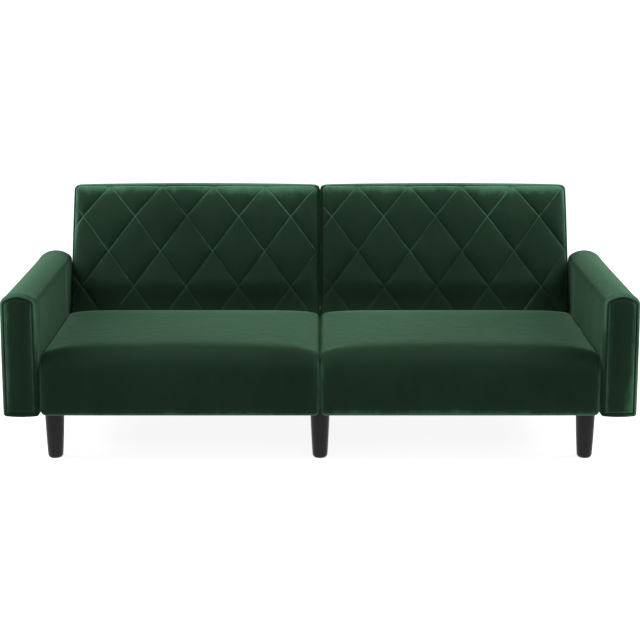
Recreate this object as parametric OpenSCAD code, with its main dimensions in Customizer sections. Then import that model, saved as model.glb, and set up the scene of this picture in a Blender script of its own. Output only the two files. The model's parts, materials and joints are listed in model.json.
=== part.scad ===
// Split-back futon sofa bed: two upholstered seat boxes bolted side by side, two back panels that
// recline on click-clack hinges, two fixed armrests and six turned legs.
// Lengths in millimetres. +X is right as seen from the front, -Y is the front, +Z is up.
// The origin is on the floor, under the middle of the whole sofa.

/* [Overall] */
// Width over both armrests
overall_w = 1950; // [1700:10:2200]
// Height of the seat top
seat_top = 360; // [350:1:380]
// Depth of the seat box, front to rear
seat_d = 561; // [520:1:580]

/* [Armrests] */
// Width of one armrest
arm_w = 110; // [100:1:130]
// Depth of an armrest, front to rear
arm_d = 690; // [688:1:720]
// Height of an armrest's underside
arm_z = 150; // [145:1:152]
// Height of an armrest's crown
arm_top = 533; // [500:1:560]
// Radius of the flat arch over an armrest
arch_r = 80; // [76:1:100]
// Radius of the armrest's shoulders
shoulder_r = 22; // [18:1:24]
// Radius of the armrest's lower edges
arm_foot_r = 8; // [4:1:9]

/* [Back panels] */
// Lean of the back from upright, in degrees
lean = 18.5; // [15:0.5:22]
// Thickness of a back panel
back_t = 117; // [110:1:125]
// Length of a back panel above the hinge pin
back_above = 461; // [420:1:500]
// Length of a back panel below the hinge pin
back_below = 40; // [36:1:42]

/* [Hinges] */
// Distance of the hinge pin below the seat top, and behind the panel's front face
pin_drop = 50; // [48:1:54]
// Distance of the hinge pin behind the seat box
pin_back = 60; // [60:1:70]
// Radius of the hinge pin
pin_r = 5; // [4:0.5:6]
// Thickness of the hinge plates
plate_t = 3; // [2.5:0.1:3]

/* [Legs] */
// Height of a leg with its glide
leg_h = 152.5; // [145:0.5:152.5]
// Radius of a leg at the top
leg_r_top = 29; // [28:1:30]
// Radius of a leg at the foot
leg_r_foot = 22; // [18:1:26]
// Distance of the outer legs from the middle
leg_x = 829; // [820:1:830]
// Distance of the front legs behind the armrest fronts
leg_front_y = 75; // [70:1:80]
// Distance of the rear legs behind the armrest fronts
leg_rear_y = 650; // [645:1:652]

/* [Timber and cloth] */
// Height of the seat rails
rail_h = 100; // [90:1:105]
// Thickness of the seat's front, rear and inner rails
rail_t = 25; // [22:1:28]
// Thickness of the outer side rails
side_rail_t = 40; // [36:1:45]
// Number of slats under each seat
slat_count = 7; // [5:1:8]
// Thickness of the cover cloth with its lining
cloth_t = 1.8; // [1.5:0.1:2]

/* [Hidden] */

$fn = 64;

// Colours
velvet = [0.13, 0.24, 0.17];
timber = [0.78, 0.62, 0.42];
foam = [0.93, 0.88, 0.70];
black = [0.10, 0.10, 0.10];
steel = [0.62, 0.64, 0.66];

// Small distances
run_gap = 0.3;
bore_gap = 0.05;
eps = 1;

// Widths, from the armrest inwards
arm_in = overall_w / 2 - arm_w;
seat_out = arm_in - plate_t - 1.1;
seat_in = plate_t / 2;
hinge_out = seat_out - run_gap;
back_out = hinge_out - plate_t;
back_in = seat_in + run_gap + plate_t;

// Heights, from the floor up
plate_z = leg_h;
sheet_z = plate_z + 2.5;
sheet_t = 1.2;
hem_z = sheet_z + sheet_t;
frame_z = hem_z + cloth_t;
stub_top = frame_z + 64;
slat_z = frame_z + rail_h;
slat_t = 10;
foam_z = slat_z + slat_t;

// Seat box
seat_front_r = 38;
seat_rear_r = 20;
apron_t = 18;
front_rail_y = cloth_t + apron_t;
rear_rail_y = seat_d - cloth_t - rail_t;
stub_rear = 685;
hem_w = 25;
rear_cut = 8;

// Hinge pin and back panel, measured in the panel's own plane
pin_y = seat_d + pin_back;
pin_z = seat_top - pin_drop;
panel_front = -pin_drop;
panel_rear = back_t - pin_drop;
panel_h = back_above + back_below;
panel_r = [20, 12, 20, 19];
lug_r = 20;
head_r = 45;
strap_in = 11;
strap_out = 45;
strap_top = 300;

// Armrest lining
arm_foam_t = 8;
arm_board = 12;
arm_lining = cloth_t + arm_foam_t;
panel_depth = 10;
piping_in = 2;
piping_w = 4;
arch_drop = arch_r - sqrt(pow(arch_r - shoulder_r, 2) - pow(arm_w / 2 - shoulder_r, 2));

// Whole sofa, front to rear
overall_d = pin_y + (panel_rear - panel_r[2]) * cos(lean) + (back_above - panel_r[2]) * sin(lean)
    + panel_r[2];

leg_spots = [for (x = [-leg_x, 0, leg_x], y = [leg_front_y, leg_rear_y]) [x, y]];
arm_bolt_y = [150, 310, 470];
arm_bolt_z = 210;
join_bolt_y = [150, 330];
join_bolt_z = 210;
hinge_bolts = [[520, 240], [585, 190], [640, 190]];
strap_screws = [80, 170, 260];
strap_mid = (strap_in + strap_out) / 2;

// ---- Helpers ----

// Moves the whole sofa so that its origin is under its middle
module placed() {
    translate([0, -overall_d / 2, 0]) children();
}

// Draws the right-hand piece, or its mirror image on the left
module side(right) {
    placed() mirror([right ? 0 : 1, 0, 0]) children();
}

// A rectangle with a radius at each corner: low-low, high-low, high-high, low-high
module soft_rect(w, h, r) {
    corners = [[0, 0], [w, 0], [w, h], [0, h]];
    difference() {
        square([w, h]);
        for (i = [0:3])
            if (r[i] > 0)
                translate(corners[i]) rotate(90 * i) difference() {
                    translate([-eps, -eps]) square(r[i] + eps);
                    translate([r[i], r[i]]) circle(r[i]);
                }
    }
}

// Extrudes a side outline, drawn as (y, z), across the sofa
module across(x0, x1) {
    translate([x0, 0, 0]) rotate([90, 0, 90]) linear_extrude(x1 - x0) children();
}

// Extrudes a front outline, drawn as (x, z), from front to rear
module rearward(y0, y1) {
    translate([0, y1, 0]) rotate([90, 0, 0]) linear_extrude(y1 - y0) children();
}

// A box from its two corners
module block(low, high) {
    translate(low) cube(high - low);
}

// A round bar across the sofa
module crossbar(x0, x1, y, z, r) {
    translate([x0, y, z]) rotate([0, 90, 0]) cylinder(h = x1 - x0, r = r);
}

// Puts a piece drawn upright around the hinge pin into the leaning back
module in_back() {
    translate([0, pin_y, pin_z]) rotate([-lean, 0, 0]) children();
}

// ---- Seat boxes ----

module seat_outline(inset) {
    front_r = seat_front_r - inset;
    rear_r = seat_rear_r - inset;
    translate([inset, hem_z + inset])
        soft_rect(seat_d - 2 * inset, seat_top - hem_z - 2 * inset, [4 - inset, 4 - inset, rear_r, front_r]);
}

// The room inside a seat cover
module seat_room() {
    across(seat_in + cloth_t, seat_out - cloth_t) seat_outline(cloth_t);
}

// Pockets for the leg plates' nuts, and the pilot holes of their screws
module leg_fixing_holes() {
    for (p = leg_spots)
        translate([p[0], p[1], 0]) {
            translate([0, 0, sheet_z - eps]) cylinder(h = 13, r = 9);
            for (x = [-20, 20], y = [-20, 20])
                translate([x, y, plate_z]) cylinder(h = 20, r = 2.4);
        }
}

module hinge_bolt_holes() {
    for (b = hinge_bolts) {
        crossbar(-40, 40, b[0], b[1], 4);
        for (s = [-1, 1]) crossbar(s * (seat_out - 19) - 19, s * (seat_out - 19) + 19, b[0], b[1], 4);
    }
}

module arm_bolt_holes() {
    for (y = arm_bolt_y) crossbar(seat_out - 60, arm_in + 60, y, arm_bolt_z, 4);
}

module join_bolt_holes() {
    for (y = join_bolt_y) crossbar(-60, 60, y, join_bolt_z, 4);
}

module fixing_holes() {
    leg_fixing_holes();
    hinge_bolt_holes();
    arm_bolt_holes();
    join_bolt_holes();
}

// Side rail with a low stub that runs on under the back; the stub meets the hinge plate at face_x
module side_rail(x0, x1, face_x) {
    block([x0, front_rail_y + rail_t, frame_z], [x1, rear_rail_y, slat_z]);
    block([x0, rear_rail_y - eps, frame_z], [x1, stub_rear, stub_top]);
    block([min(x0, face_x), seat_d + run_gap, frame_z], [max(x1, face_x), stub_rear, stub_top]);
}

module both_side_rails() {
    side_rail(seat_out - cloth_t - side_rail_t, seat_out - cloth_t, seat_out);
    side_rail(seat_in + cloth_t, seat_in + cloth_t + rail_t, seat_in);
}

module seat_side_rails(right) {
    color(timber) side(right) difference() {
        both_side_rails();
        fixing_holes();
    }
}

module seat_long_rails(right) {
    x0 = seat_in + cloth_t;
    x1 = seat_out - cloth_t;
    color(timber) side(right) difference() {
        union() {
            block([x0, front_rail_y, frame_z], [x1, front_rail_y + rail_t, slat_z]);
            block([x0, rear_rail_y, frame_z], [x1, rear_rail_y + rail_t, slat_z]);
        }
        block([x0 - eps, rear_rail_y - eps, frame_z - eps], [x0 + rail_t, seat_d, stub_top]);
        block([x1 - side_rail_t, rear_rail_y - eps, frame_z - eps], [x1 + eps, seat_d, stub_top]);
        fixing_holes();
    }
}

module rear_stretcher(right) {
    x0 = seat_in + cloth_t + rail_t;
    x1 = seat_out - cloth_t - side_rail_t;
    color(timber) side(right) difference() {
        block([x0, stub_rear - rail_t, frame_z], [x1, stub_rear, stub_top]);
        fixing_holes();
    }
}

module corner_blocks() {
    x1 = seat_out - cloth_t - side_rail_t;
    color(timber) for (right = [false, true])
        side(right) difference() {
            union() {
                block([x1 - 40, front_rail_y + rail_t, frame_z], [x1, front_rail_y + rail_t + 70, stub_top]);
                block([x1 - 40, stub_rear - rail_t - 60, frame_z], [x1, stub_rear - rail_t, stub_top]);
            }
            fixing_holes();
        }
}

module seat_slats(right) {
    x0 = seat_in + cloth_t + 30;
    pitch = (seat_out - cloth_t - 30 - 60 - x0) / (slat_count - 1);
    color(timber) side(right)
        for (i = [0 : slat_count - 1])
            block([x0 + i * pitch, front_rail_y, slat_z], [x0 + i * pitch + 60, seat_d - cloth_t, foam_z]);
}

module seat_foam(right) {
    color(foam) side(right) intersection() {
        seat_room();
        union() {
            block([0, 0, foam_z], [seat_out, seat_d, seat_top]);
            block([0, 0, frame_z], [seat_out, front_rail_y, foam_z]);
        }
    }
}

module seat_cover(right) {
    color(velvet) side(right) difference() {
        across(seat_in, seat_out) seat_outline(0);
        seat_room();
        block([seat_in + hem_w, hem_w, hem_z - eps], [seat_out - hem_w, seat_d - hem_w, frame_z + eps]);
        block([-eps, seat_d - rear_cut, hem_z - eps], [seat_out + eps, seat_d + eps, stub_top + 2]);
        fixing_holes();
    }
}

module dust_cover() {
    color(black) placed() difference() {
        block([-seat_out + 3, 22, sheet_z], [seat_out - 3, stub_rear - 1, hem_z]);
        leg_fixing_holes();
    }
}

// Bolts with head and nut through the two inner rails
module frame_joining_bolts() {
    rail_face = seat_in + cloth_t + rail_t;
    color(steel) placed() for (y = join_bolt_y) {
        crossbar(-rail_face - 6, rail_face + 6, y, join_bolt_z, 4);
        crossbar(-rail_face - 5, -rail_face, y, join_bolt_z, 8);
        crossbar(rail_face, rail_face + 6.5, y, join_bolt_z, 7);
    }
}

module joining_washers() {
    color(steel) placed() for (y = join_bolt_y)
        difference() {
            crossbar(-seat_in, seat_in, y, join_bolt_z, 12);
            crossbar(-seat_in - eps, seat_in + eps, y, join_bolt_z, 4);
        }
}

// ---- Legs ----

glide_t = 3;
hanger_l = 40;

module leg(x, y) {
    color(black) placed() translate([x, y, 0]) difference() {
        translate([0, 0, glide_t]) cylinder(h = leg_h - glide_t, r1 = leg_r_foot, r2 = leg_r_top);
        translate([0, 0, leg_h - hanger_l]) cylinder(h = hanger_l + eps, r = 4);
    }
}

module foot_glides() {
    color("dimgray") placed() for (p = leg_spots)
        translate([p[0], p[1], 0]) {
            cylinder(h = 1, r1 = leg_r_foot - 3, r2 = leg_r_foot - 2);
            translate([0, 0, 1]) cylinder(h = glide_t - 1, r = leg_r_foot - 2);
        }
}

module leg_hanger_bolts() {
    color(steel) placed() for (p = leg_spots)
        translate([p[0], p[1], leg_h - hanger_l]) cylinder(h = hanger_l + 10.5, r = 4);
}

module plate_screw() {
    cylinder(h = 2, r1 = 4.4, r2 = 2.4);
    cylinder(h = 20, r = 2.4);
}

module leg_plates() {
    color(steel) placed() for (p = leg_spots)
        translate([p[0], p[1], plate_z]) difference() {
            union() {
                translate([-28, -28, 0]) cube([56, 56, 2.5]);
                cylinder(h = 10.5, r = 8);
            }
            translate([0, 0, -eps]) cylinder(h = 13, r = 4);
            for (x = [-20, 20], y = [-20, 20]) translate([x, y, 0]) plate_screw();
        }
}

module leg_plate_screws() {
    color(steel) placed() for (p = leg_spots, x = [-20, 20], y = [-20, 20])
        translate([p[0] + x, p[1] + y, plate_z]) plate_screw();
}

// ---- Armrests ----

// Front outline of an armrest: straight sides, round shoulders and a flat arch
module arm_outline(inset) {
    half = arm_w / 2 - inset;
    foot_r = max(arm_foot_r - inset, 0);
    spring_z = arm_top - arch_drop;
    tangent_x = (arm_w / 2 - shoulder_r) * (arch_r - inset) / (arch_r - shoulder_r);
    translate([arm_in + arm_w / 2, 0]) {
        translate([-half, arm_z + inset])
            soft_rect(2 * half, spring_z - arm_z - inset, [foot_r, foot_r, 0, 0]);
        for (s = [-1, 1])
            translate([s * (arm_w / 2 - shoulder_r), spring_z]) circle(shoulder_r - inset);
        intersection() {
            translate([0, arm_top - arch_r]) circle(arch_r - inset);
            translate([-tangent_x, spring_z - eps]) square([2 * tangent_x, arch_drop + 2 * eps]);
        }
    }
}

module arm_ring(outer, inner, y0, y1) {
    rearward(y0, y1) difference() {
        arm_outline(outer);
        arm_outline(inner);
    }
}

// Shaped end boards, a middle rib, two plywood sides and two rails
module arm_frame(right) {
    inner = arm_in + arm_lining;
    outer = arm_in + arm_w - arm_lining;
    low = arm_z + arm_lining;
    rear = arm_d - 4;
    board_top = arm_top - arch_drop - 10;
    color(timber) side(right) difference() {
        union() {
            rearward(panel_depth, panel_depth + 18) arm_outline(arm_lining);
            rearward(rear - 18, rear) arm_outline(arm_lining);
            block([inner, panel_depth + 18, low], [inner + arm_board, rear - 18, board_top]);
            block([outer - arm_board, panel_depth + 18, low], [outer, rear - 18, board_top]);
            block([inner + arm_board, arm_d / 2 - 9, low + 30], [outer - arm_board, arm_d / 2 + 9, board_top]);
            block([inner + arm_board, panel_depth + 18, low], [outer - arm_board, rear - 18, low + 30]);
            intersection() {
                rearward(panel_depth + 18, rear - 18) arm_outline(arm_lining);
                block([inner, 0, board_top], [outer, arm_d, board_top + 25]);
            }
        }
        arm_bolt_holes();
    }
}

module arm_padding(right) {
    color(foam) side(right) difference() {
        arm_ring(cloth_t, arm_lining, panel_depth, arm_d - 4);
        arm_bolt_holes();
    }
}

module arm_cover(right) {
    color(velvet) side(right) difference() {
        arm_ring(0, cloth_t, 5, arm_d - 2);
        arm_bolt_holes();
    }
}

module arm_front_panel(right) {
    color(velvet) side(right) rearward(0, panel_depth) arm_outline(piping_in + piping_w);
}

module arm_rear_panel(right) {
    color(velvet) side(right) rearward(arm_d - 4, arm_d) arm_outline(piping_in);
}

module arm_piping(right) {
    color(velvet) side(right) arm_ring(piping_in, piping_in + piping_w, 1, panel_depth - 1);
}

// Bolts from the seat rail into a tee nut in the armrest, each with a spacer in the gap
module arm_bolts() {
    rail_face = seat_out - cloth_t - side_rail_t;
    nut_face = arm_in + arm_lining + arm_board;
    color(steel) for (right = [false, true], y = arm_bolt_y)
        side(right) {
            crossbar(rail_face - 5, nut_face + 6, y, arm_bolt_z, 4);
            crossbar(rail_face - 5, rail_face, y, arm_bolt_z, 9);
            crossbar(nut_face, nut_face + 2.5, y, arm_bolt_z, 11);
            crossbar(seat_out, arm_in, y, arm_bolt_z, 11);
        }
}

// ---- Hinges ----

// Fixed hinge plate, drawn as (y, z): a head around the pin and a foot on the rails
module base_outline(head) {
    translate([pin_y, pin_z]) circle(head);
    polygon([[505, 262], [505, 172], [662, 172], [662, 215], [pin_y + 24, pin_z - 12], [pin_y - 24, pin_z - 8]]);
}

// Ratchet notches around the rear quarter of the outer plates' heads
module ratchet_notches() {
    for (a = [-4 : 10 : 96])
        translate([pin_y + head_r * sin(a), pin_z + head_r * cos(a)]) circle(2.6);
}

module hinge_base_outer(right) {
    color(steel) side(right) across(seat_out, seat_out + plate_t) difference() {
        base_outline(head_r);
        ratchet_notches();
        translate([pin_y, pin_z]) circle(pin_r);
        for (b = hinge_bolts) translate(b) circle(4);
    }
}

module hinge_base_centre() {
    color(steel) placed() across(-seat_in, seat_in) difference() {
        base_outline(30);
        translate([pin_y, pin_z]) circle(pin_r);
        for (b = hinge_bolts) translate(b) circle(4);
    }
}

// Coach screws with thin heads at the outer plates, and through bolts at the centre
module hinge_base_bolts() {
    rail_face = seat_in + cloth_t + rail_t;
    head_x = seat_out + plate_t;
    color(steel) {
        for (right = [false, true], b = hinge_bolts)
            side(right) {
                crossbar(seat_out - 38, head_x + 0.8, b[0], b[1], 4);
                crossbar(head_x, head_x + 0.8, b[0], b[1], 9);
            }
        placed() for (b = hinge_bolts) {
            crossbar(-rail_face - 5, rail_face + 6, b[0], b[1], 4);
            crossbar(-rail_face - 5, -rail_face, b[0], b[1], 8);
            crossbar(rail_face, rail_face + 6.5, b[0], b[1], 7);
        }
    }
}

module pivot_pins() {
    color(steel) {
        for (right = [false, true])
            side(right) {
                crossbar(back_out + 0.1, seat_out + plate_t + 0.8, pin_y, pin_z, pin_r);
                crossbar(seat_out + plate_t, seat_out + plate_t + 0.8, pin_y, pin_z, 10);
            }
        placed() crossbar(-back_in + 0.1, back_in - 0.1, pin_y, pin_z, pin_r);
    }
}

// Moving hinge strap, drawn as (rearward, upward) from the pin
module strap_outline() {
    difference() {
        union() {
            circle(lug_r);
            polygon([[-lug_r, 0], [lug_r * 0.6, -lug_r * 0.8], [strap_out, 45], [strap_out, strap_top],
                     [strap_in, strap_top], [strap_in, 60]]);
        }
        circle(pin_r + bore_gap);
    }
}

// One countersunk screw from the strap's face, at x0, into the back frame
module strap_screw(x0, inward) {
    translate([x0, 0, 0]) rotate([0, inward * 90, 0]) {
        cylinder(h = plate_t, r1 = 7, r2 = 3.5);
        cylinder(h = 26, r = 3.5);
    }
}

module strap_screws(x0, inward) {
    for (u = strap_screws) translate([0, strap_mid, u]) strap_screw(x0, inward);
}

module outer_strap_screws() {
    strap_screws(hinge_out, -1);
}

module inner_strap_screws() {
    strap_screws(back_in - plate_t, 1);
}

module hinge_arm_outer(right) {
    color(steel) side(right) in_back() difference() {
        across(back_out, hinge_out) strap_outline();
        outer_strap_screws();
    }
}

module hinge_arm_inner(right) {
    color(steel) side(right) in_back() difference() {
        across(back_in - plate_t, back_in) strap_outline();
        inner_strap_screws();
    }
}

module hinge_arm_screws(right) {
    color(steel) side(right) in_back() {
        outer_strap_screws();
        inner_strap_screws();
    }
}

// Ratchet pawl, held just clear of the notches
module ratchet_pawl(right) {
    color(steel) side(right) in_back() across(hinge_out, hinge_out + plate_t) {
        polygon([[-3, 47.5], [4, 47.5], [20, 66], [34, 112], [24, 118], [8, 80]]);
        translate([28, 114]) circle(8);
    }
}

// ---- Back panels ----

module panel_outline(inset) {
    translate([panel_front + inset, inset - back_below])
        soft_rect(back_t - 2 * inset, panel_h - 2 * inset, [for (r = panel_r) r - inset]);
}

// The room inside a back cover
module panel_room() {
    across(back_in + cloth_t, back_out - cloth_t) panel_outline(cloth_t);
}

module back_frame(right) {
    x0 = back_in + cloth_t;
    x1 = back_out - cloth_t;
    rear = panel_rear - cloth_t;
    low = cloth_t - back_below;
    high = back_above - cloth_t;
    middle = (x0 + x1) / 2;
    color(timber) side(right) in_back() difference() {
        intersection() {
            panel_room();
            union() {
                block([x0, strap_in, low], [x0 + rail_t, rear, high]);
                block([x1 - rail_t, strap_in, low], [x1, rear, high]);
                block([x0 + rail_t, rear - rail_t, low], [x1 - rail_t, rear, low + 45]);
                block([x0 + rail_t, rear - rail_t, high - 45], [x1 - rail_t, rear, high]);
                block([middle - 20, rear - rail_t, low + 45], [middle + 20, rear, high - 45]);
            }
        }
        outer_strap_screws();
        inner_strap_screws();
    }
}

module back_webbing(right) {
    front = panel_rear - cloth_t - rail_t - 2;
    x0 = back_in + cloth_t + rail_t;
    span = back_out - cloth_t - rail_t - x0;
    color(black) side(right) in_back()
        for (i = [0:5])
            block([x0 + span * (i + 0.5) / 6 - 25, front, -20], [x0 + span * (i + 0.5) / 6 + 25, front + 2, back_above - 20]);
}

module back_foam(right) {
    x0 = back_in + cloth_t;
    x1 = back_out - cloth_t;
    web_front = panel_rear - cloth_t - rail_t - 2;
    color(foam) side(right) in_back() intersection() {
        panel_room();
        union() {
            block([x0, panel_front, -back_below], [x1, strap_in, back_above]);
            block([x0 + rail_t, strap_in - eps, -back_below], [x1 - rail_t, web_front, back_above]);
        }
    }
}

// Cover with the gap in its underside where the cloth is stapled to the bottom rail
module back_cover(right) {
    color(velvet) side(right) in_back() difference() {
        across(back_in, back_out) panel_outline(0);
        panel_room();
        block([back_in + 30, 24, -back_below - eps], [back_out - 30, 52, cloth_t - back_below + eps]);
        outer_strap_screws();
        inner_strap_screws();
    }
}

seat_long_rails(false);  // seat_long_rails_left
seat_long_rails(true);  // seat_long_rails_right
seat_side_rails(false);  // seat_side_rails_left
seat_side_rails(true);  // seat_side_rails_right
rear_stretcher(false);  // rear_stretcher_left
rear_stretcher(true);  // rear_stretcher_right
corner_blocks();
seat_slats(false);  // seat_slats_left
seat_slats(true);  // seat_slats_right
seat_foam(false);  // seat_foam_left
seat_foam(true);  // seat_foam_right
seat_cover(false);  // seat_cover_left
seat_cover(true);  // seat_cover_right
dust_cover();
frame_joining_bolts();
joining_washers();
leg(-leg_x, leg_front_y);  // leg_front_left
leg(0, leg_front_y);  // leg_front_middle
leg(leg_x, leg_front_y);  // leg_front_right
leg(-leg_x, leg_rear_y);  // leg_rear_left
leg(0, leg_rear_y);  // leg_rear_middle
leg(leg_x, leg_rear_y);  // leg_rear_right
foot_glides();
leg_hanger_bolts();
leg_plates();
leg_plate_screws();
arm_frame(false);  // arm_frame_left
arm_frame(true);  // arm_frame_right
arm_padding(false);  // arm_padding_left
arm_padding(true);  // arm_padding_right
arm_cover(false);  // arm_cover_left
arm_cover(true);  // arm_cover_right
arm_front_panel(false);  // arm_front_panel_left
arm_front_panel(true);  // arm_front_panel_right
arm_rear_panel(false);  // arm_rear_panel_left
arm_rear_panel(true);  // arm_rear_panel_right
arm_piping(false);  // arm_piping_left
arm_piping(true);  // arm_piping_right
arm_bolts();
hinge_base_outer(false);  // hinge_base_left
hinge_base_centre();
hinge_base_outer(true);  // hinge_base_right
hinge_base_bolts();
pivot_pins();
back_frame(false);  // back_frame_left
back_frame(true);  // back_frame_right
back_webbing(false);  // back_webbing_left
back_webbing(true);  // back_webbing_right
back_foam(false);  // back_foam_left
back_foam(true);  // back_foam_right
back_cover(false);  // back_cover_left
back_cover(true);  // back_cover_right
hinge_arm_outer(false);  // hinge_arm_outer_left
hinge_arm_outer(true);  // hinge_arm_outer_right
hinge_arm_inner(false);  // hinge_arm_inner_left
hinge_arm_inner(true);  // hinge_arm_inner_right
hinge_arm_screws(false);  // hinge_arm_screws_left
hinge_arm_screws(true);  // hinge_arm_screws_right
ratchet_pawl(false);  // ratchet_pawl_left
ratchet_pawl(true);  // ratchet_pawl_right
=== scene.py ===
"""The looks of a split-back futon sofa bed: velvet covers with a quilted back, piping, turned legs, and a finish
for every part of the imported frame. Lengths are in metres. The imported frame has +X right, -Y front and +Z up."""
import json
import math

import bmesh
import bpy
import numpy as np
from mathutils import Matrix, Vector


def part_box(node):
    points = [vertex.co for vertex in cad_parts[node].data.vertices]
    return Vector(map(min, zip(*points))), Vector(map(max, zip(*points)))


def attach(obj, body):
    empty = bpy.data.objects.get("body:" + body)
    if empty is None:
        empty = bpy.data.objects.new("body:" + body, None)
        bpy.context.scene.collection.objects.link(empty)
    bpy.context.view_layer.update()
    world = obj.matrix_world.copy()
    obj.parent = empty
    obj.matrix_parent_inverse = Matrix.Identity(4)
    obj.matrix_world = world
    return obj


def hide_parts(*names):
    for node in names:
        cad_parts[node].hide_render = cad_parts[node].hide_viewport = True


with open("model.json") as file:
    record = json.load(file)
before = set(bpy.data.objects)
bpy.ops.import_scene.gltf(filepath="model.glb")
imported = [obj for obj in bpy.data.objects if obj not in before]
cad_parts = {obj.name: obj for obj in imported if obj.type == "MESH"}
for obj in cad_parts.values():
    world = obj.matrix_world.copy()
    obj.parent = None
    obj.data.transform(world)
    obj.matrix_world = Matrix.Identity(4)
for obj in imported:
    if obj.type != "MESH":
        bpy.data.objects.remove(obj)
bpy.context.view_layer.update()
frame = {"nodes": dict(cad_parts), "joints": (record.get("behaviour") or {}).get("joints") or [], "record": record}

SIDES = {"left": -1, "right": 1}

CLOTH_STEPS = 20

# The velvet's mesh attribute for painted highlight: how much pale, sheen-like colour is painted at each point, from 0
# to 1
PAINTED_SHEEN_ATTRIBUTE = "painted_sheen_share"

# Seats
SEAT_END_R = 0.016
SEAT_RADII = (0.012, 0.010, 0.020, 0.060)  # front foot, rear foot, rear top, front top
SEAT_TOP_ROOM = 0.004  # kept below the CAD's top, for the cloth to rise into
SEAT_SAG = 0.004  # of the front edge's foot
SEAT_DROP, SEAT_DROP_RUN = 0.013, 0.045  # of the top towards its ends
SEAT_FRONT_DROP, SEAT_FRONT_RUN = 0.003, 0.075
SEAT_GAP_BOW = 0.0022  # towards the other seat
SEAT_MOST_MOVE = 0.012

# Back panels
LEAN = math.radians(18.5)
PANEL_END_R = 0.012
PANEL_TOP_R = 0.019
PANEL_FOOT_R = 0.020
PANEL_REAR_R = 0.0015
PANEL_REAR_TOP_R = 0.016
PANEL_REAR_FOOT_R = 0.009
PANEL_REAR_CROWN = 0.004
PANEL_CROWN = 0.003
PANEL_SET_BACK = 0.008
PANEL_RISE = 0.005
SEAM_ANGLE = math.radians(37)  # how far round the front's edge its seam lies
CORNER_R = 0.018
TOP_LEAN, TOP_LEAN_RUN = 0.014, 0.070
GAP_BOW = 0.0049
ARM_SIDE_BOW = 0.0025
TOP_CROWN = 0.0085

# Quilting: diamonds, the first row shorter
DIAMOND_HALF_W = 0.090
DIAMOND_HALF_H = 0.122
FIRST_ROW_H = 0.110
FIRST_APEX_X = 0.126
CELLS = 10  # coarse cells across half a diamond
FINE = 4  # fine cells in a coarse one
ON_LINE = 0.0004  # closer than this, a point is on a quilting line
PUFF = 0.008
CREASE_DEPTH = 0.0070
CREASE_SHARP = 0.0035  # the crease's run below a line
CREASE_SOFT = 0.0120  # and above it
SEAM_DIP, SEAM_DIP_RUN = 0.0028, 0.0022
EDGE_ROLLS = ((0.004, 0.004), (0.014, 0.024))  # (rise, run) inwards from the seam

# Armrests
ARCH_R = 0.080
SHOULDER_R = 0.022
ARM_FOOT_R = 0.008
ARM_SWELL, ARM_RISE, ARM_BELLY = 0.0030, 0.004, 0.0035  # sideways, up and down
ARCH_STEPS, SHOULDER_STEPS, SIDE_STEPS, FOOT_STEPS = 6, 6, 26, 4
SLEEVE_ROLL_R = 0.0110
SLEEVE_REAR_R = 0.006
SLEEVE_STEPS = 44
SLEEVE_MOST_MOVE = 0.0035
ARM_ROOM, HINGE_ROOM = 0.0070, 0.0006  # how far a sleeve's inner side may bulge, and beside the hinge
PIPING_R = 0.0025
PIPING_SIDES = 10
PIPING_INSET, PIPING_BACK = 0.0105, 0.0015
CAP_RIM = 0.014
CAP_RUN, CAP_END_RUN = 0.016, 0.040
FRONT_PANEL = (0.0125, 0.006)  # inset from the armrest's outline, crown
REAR_PANEL = (0.0078, 0.0005)
PANEL_EDGE = ((0.009, 0.0010), (0.0055, 0.0), (0.0035, 0.0008), (0.0018, 0.0024), (0.0006, 0.0050), (0.0, 0.0085))

# Legs
LEG_FULLNESS = 0.0015  # added to the CAD's radii
LEG_RIM_R = 0.0035
LEG_BOW = 0.0006
LEG_SIDES = 40

# Studio: (height of the direction, share of the strength)
SKY = ((0.0, 1.0), (0.01, 0.05), (0.22, 0.05), (0.30, 0.93), (0.65, 0.93), (0.75, 0.05), (1.0, 0.05))
SKY_STRENGTH = 1.0
TOP_POWER = 22
SIDE_POWER = 154
LENS, SENSOR_W, SHIFT_Y = 83.81, 36, -0.20
CAMERA_PLACE = (0, -4.825, 1.562)
CAMERA_TILT = math.radians(9.143)


# ---- Material nodes ----

def new_material(name):
    material = bpy.data.materials.new(name)
    material.use_nodes = True
    tree = material.node_tree
    return material, tree, tree.nodes["Principled BSDF"]


def plug(tree, socket, value):
    """Links an output to the socket, or sets a plain value on it."""
    if isinstance(value, bpy.types.NodeSocket):
        tree.links.new(value, socket)
    else:
        socket.default_value = value


def plug_named(tree, node, inputs):
    """Plugs values into a node's inputs. A name has underscores for the spaces in its socket's name."""
    for name, value in inputs.items():
        plug(tree, node.inputs[name.replace("_", " ")], value)


def add(tree, kind, **inputs):
    """A new shader node, with a value or an output for each input that is named."""
    made = tree.nodes.new("ShaderNode" + kind)
    plug_named(tree, made, inputs)
    return made


def object_place(tree, stretch=(1, 1, 1)):
    place = add(tree, "TexCoord").outputs["Object"]
    return add(tree, "Mapping", Vector=place, Scale=stretch).outputs["Vector"]


def noise(tree, place, scale, detail=2.0, roughness=0.5):
    return add(tree, "TexNoise", Vector=place, Scale=scale, Detail=detail, Roughness=roughness).outputs["Fac"]


def maths(tree, operation, a, b):
    made = tree.nodes.new("ShaderNodeMath")
    made.operation = operation
    for socket, value in zip(made.inputs, (a, b)):
        plug(tree, socket, value)
    return made.outputs[0]


def weighted(tree, *pairs):
    """The sum of (output, share) pairs."""
    total = None
    for output, share in pairs:
        part = maths(tree, "MULTIPLY", output, share)
        total = part if total is None else maths(tree, "ADD", total, part)
    return total


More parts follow.
